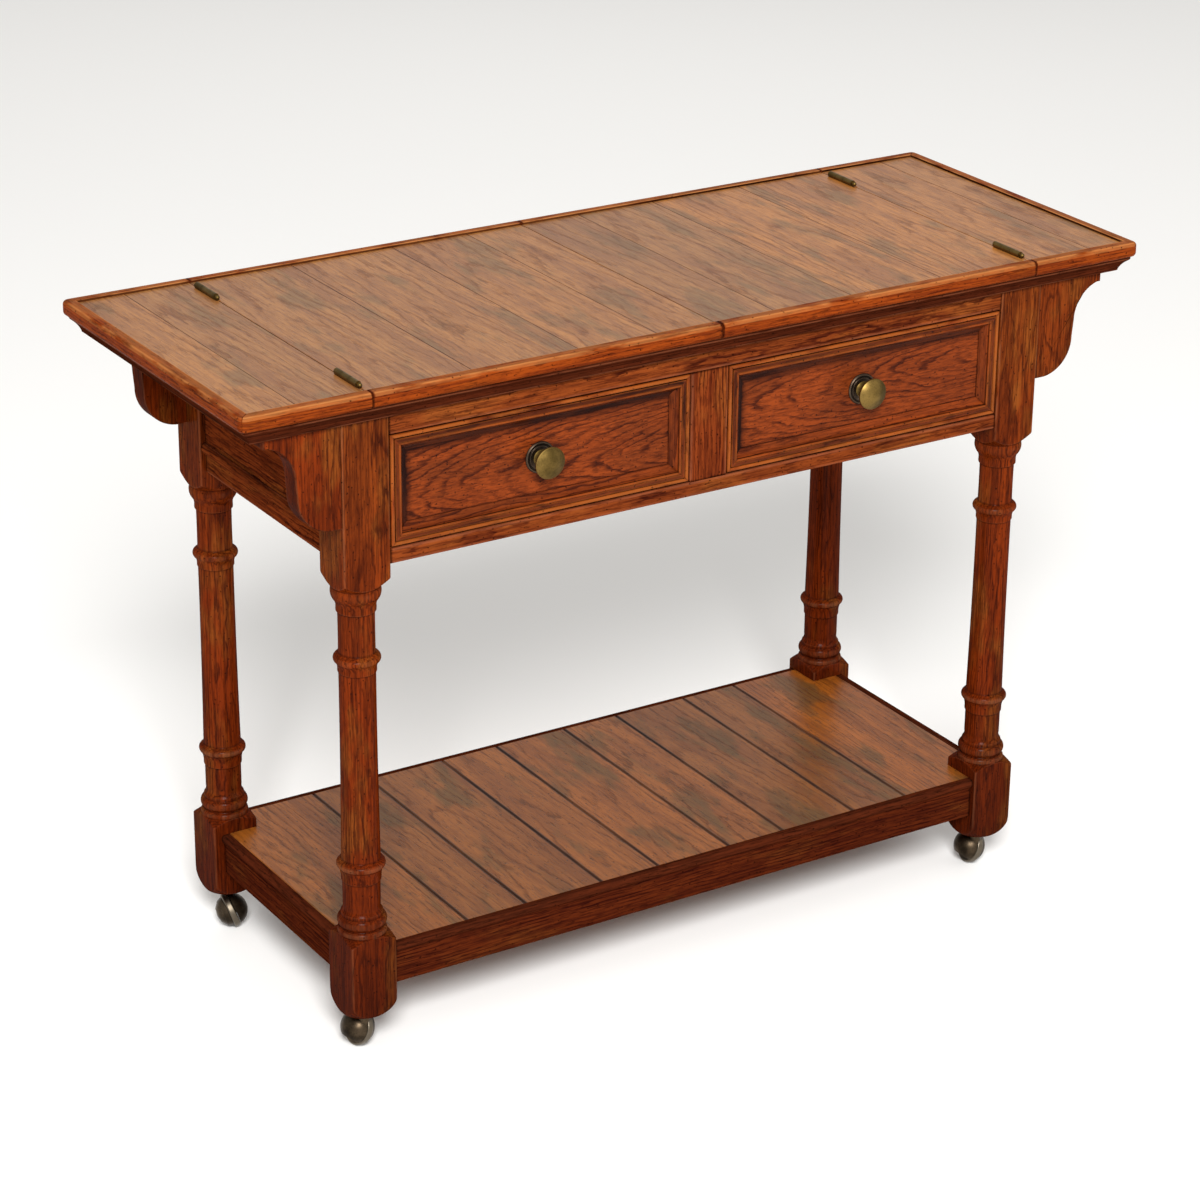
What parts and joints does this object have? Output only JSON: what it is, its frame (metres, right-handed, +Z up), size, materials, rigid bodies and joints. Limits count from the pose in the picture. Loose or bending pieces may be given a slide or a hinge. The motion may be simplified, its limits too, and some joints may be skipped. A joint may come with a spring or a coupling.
{
  "type": "flip-top serving trolley",
  "caption": "Narrow oak serving trolley with a flip-top of hinged leaves, drawers, turned legs, a planked shelf and swivelling ball casters.",
  "frame": {"origin": "on the floor under the middle of the trolley", "axes": "+X to the right seen from the drawers, +Y from the drawers to the back, +Z up"},
  "size_m": [1.12, 0.424, 0.7678],
  "materials": {
    "top_oak": "satin lacquered oak boards, mid brown with fine dark seams",
    "rim_oak": "satin lacquered oak, orange brown with rubbed golden arrises",
    "frame_oak": "satin lacquered oak, orange brown with dark flecks",
    "leg_oak": "satin lacquered oak, red brown with dark streaks",
    "drawer_oak": "satin lacquered oak with cathedral grain and dark streaks",
    "dark_oak": "near black brown stained oak, satin",
    "deck_oak": "satin lacquered oak, plain mid brown",
    "shelf_oak": "satin lacquered oak boards, greyish brown with dark V-grooves",
    "inner_wood": "bare pale hardwood, matt",
    "antique_brass": "antique brass, olive brown patina, semi-gloss",
    "screw_brass": "brass, satin",
    "plate_bronze": "dark antique bronze patina, semi-gloss",
    "caster_bronze": "dark antique brass plate, semi-gloss, rubbed on the high spots",
    "caster_wheel": "dark antique brass with a worn tread",
    "caster_steel": "plain bright steel"
  },
  "bodies": {
    "base": {"front_left_leg": "leg_oak", "front_right_leg": "leg_oak", "rear_left_leg": "leg_oak", "rear_right_leg": "leg_oak", "corbels": "leg_oak", "front_top_rail": "frame_oak", "front_bottom_rail": "frame_oak", "centre_stile": "frame_oak", "left_side_apron": "frame_oak", "right_side_apron": "frame_oak", "side_apron_beads": "frame_oak", "back_apron": "frame_oak", "serving_deck": "deck_oak", "under_top_moulding": "dark_oak", "left_end_boards": "top_oak", "right_end_boards": "top_oak", "left_end_rim": "rim_oak", "right_end_rim": "rim_oak", "hinge_fixed_plates": "antique_brass", "hinge_fixed_screws": "screw_brass", "hinge_pins": "antique_brass", "drawer_runners": "inner_wood", "shelf_boards": "shelf_oak", "shelf_nosing": "dark_oak", "shelf_rails": "frame_oak", "caster_sockets": "caster_steel"},
    "left_leaf": {"left_leaf_boards": "top_oak", "left_leaf_rim": "rim_oak", "left_leaf_hinge_plates": "antique_brass", "left_leaf_hinge_screws": "screw_brass"},
    "left_drawer": {"left_drawer_front": "drawer_oak", "left_drawer_moulding": "drawer_oak", "left_drawer_box": "inner_wood", "left_drawer_bottom": "inner_wood", "left_knob": "antique_brass", "left_knob_plate": "plate_bronze", "left_knob_screw": "caster_steel"},
    "right_leaf": {"right_leaf_boards": "top_oak", "right_leaf_rim": "rim_oak", "right_leaf_hinge_plates": "antique_brass", "right_leaf_hinge_screws": "screw_brass"},
    "right_drawer": {"right_drawer_front": "drawer_oak", "right_drawer_moulding": "drawer_oak", "right_drawer_box": "inner_wood", "right_drawer_bottom": "inner_wood", "right_knob": "antique_brass", "right_knob_plate": "plate_bronze", "right_knob_screw": "caster_steel"},
    "front_left_swivel": {"front_left_caster_hood": "caster_bronze", "front_left_caster_axle": "caster_steel"},
    "front_left_wheel": {"front_left_caster_wheel": "caster_wheel"},
    "front_right_swivel": {"front_right_caster_hood": "caster_bronze", "front_right_caster_axle": "caster_steel"},
    "front_right_wheel": {"front_right_caster_wheel": "caster_wheel"},
    "rear_left_swivel": {"rear_left_caster_hood": "caster_bronze", "rear_left_caster_axle": "caster_steel"},
    "rear_left_wheel": {"rear_left_caster_wheel": "caster_wheel"},
    "rear_right_swivel": {"rear_right_caster_hood": "caster_bronze", "rear_right_caster_axle": "caster_steel"},
    "rear_right_wheel": {"rear_right_caster_wheel": "caster_wheel"}
  },
  "joints": [
    {"name": "left_leaf_flip", "type": "hinge", "parent": "base", "child": "left_leaf", "pos_m": [-0.415, 0, 0.76425], "axis": [0, -1, 0], "range_deg": [0, 180]},
    {"name": "left_drawer_slide", "type": "slide", "parent": "base", "child": "left_drawer", "axis": [0, -1, 0], "range_m": [0, 0.24]},
    {"name": "right_leaf_flip", "type": "hinge", "parent": "base", "child": "right_leaf", "pos_m": [0.415, 0, 0.76425], "axis": [0, 1, 0], "range_deg": [0, 180]},
    {"name": "right_drawer_slide", "type": "slide", "parent": "base", "child": "right_drawer", "axis": [0, -1, 0], "range_m": [0, 0.24]},
    {"name": "front_left_caster_swivel", "type": "hinge", "parent": "base", "child": "front_left_swivel", "pos_m": [-0.413, -0.164, 0.06], "axis": [0, 0, 1], "continuous": true},
    {"name": "front_left_wheel_spin", "type": "hinge", "parent": "front_left_swivel", "child": "front_left_wheel", "pos_m": [-0.41474, -0.15415, 0.02002], "axis": [0.9254, 0.1632, -0.342], "continuous": true},
    {"name": "front_right_caster_swivel", "type": "hinge", "parent": "base", "child": "front_right_swivel", "pos_m": [0.413, -0.164, 0.06], "axis": [0, 0, 1], "continuous": true},
    {"name": "front_right_wheel_spin", "type": "hinge", "parent": "front_right_swivel", "child": "front_right_wheel", "pos_m": [0.41387, -0.15404, 0.02002], "axis": [0.9361, -0.0819, -0.342], "continuous": true},
    {"name": "rear_left_caster_swivel", "type": "hinge", "parent": "base", "child": "rear_left_swivel", "pos_m": [-0.413, 0.164, 0.06], "axis": [0, 0, 1], "continuous": true},
    {"name": "rear_left_wheel_spin", "type": "hinge", "parent": "rear_left_swivel", "child": "rear_left_wheel", "pos_m": [-0.41499, 0.1542, 0.02002], "axis": [-0.9208, 0.1873, -0.342], "continuous": true},
    {"name": "rear_right_caster_swivel", "type": "hinge", "parent": "base", "child": "rear_right_swivel", "pos_m": [0.413, 0.164, 0.06], "axis": [0, 0, 1], "continuous": true},
    {"name": "rear_right_wheel_spin", "type": "hinge", "parent": "rear_right_swivel", "child": "rear_right_wheel", "pos_m": [0.418, 0.17266, 0.02002], "axis": [0.8138, -0.4698, -0.342], "continuous": true}
  ]
}
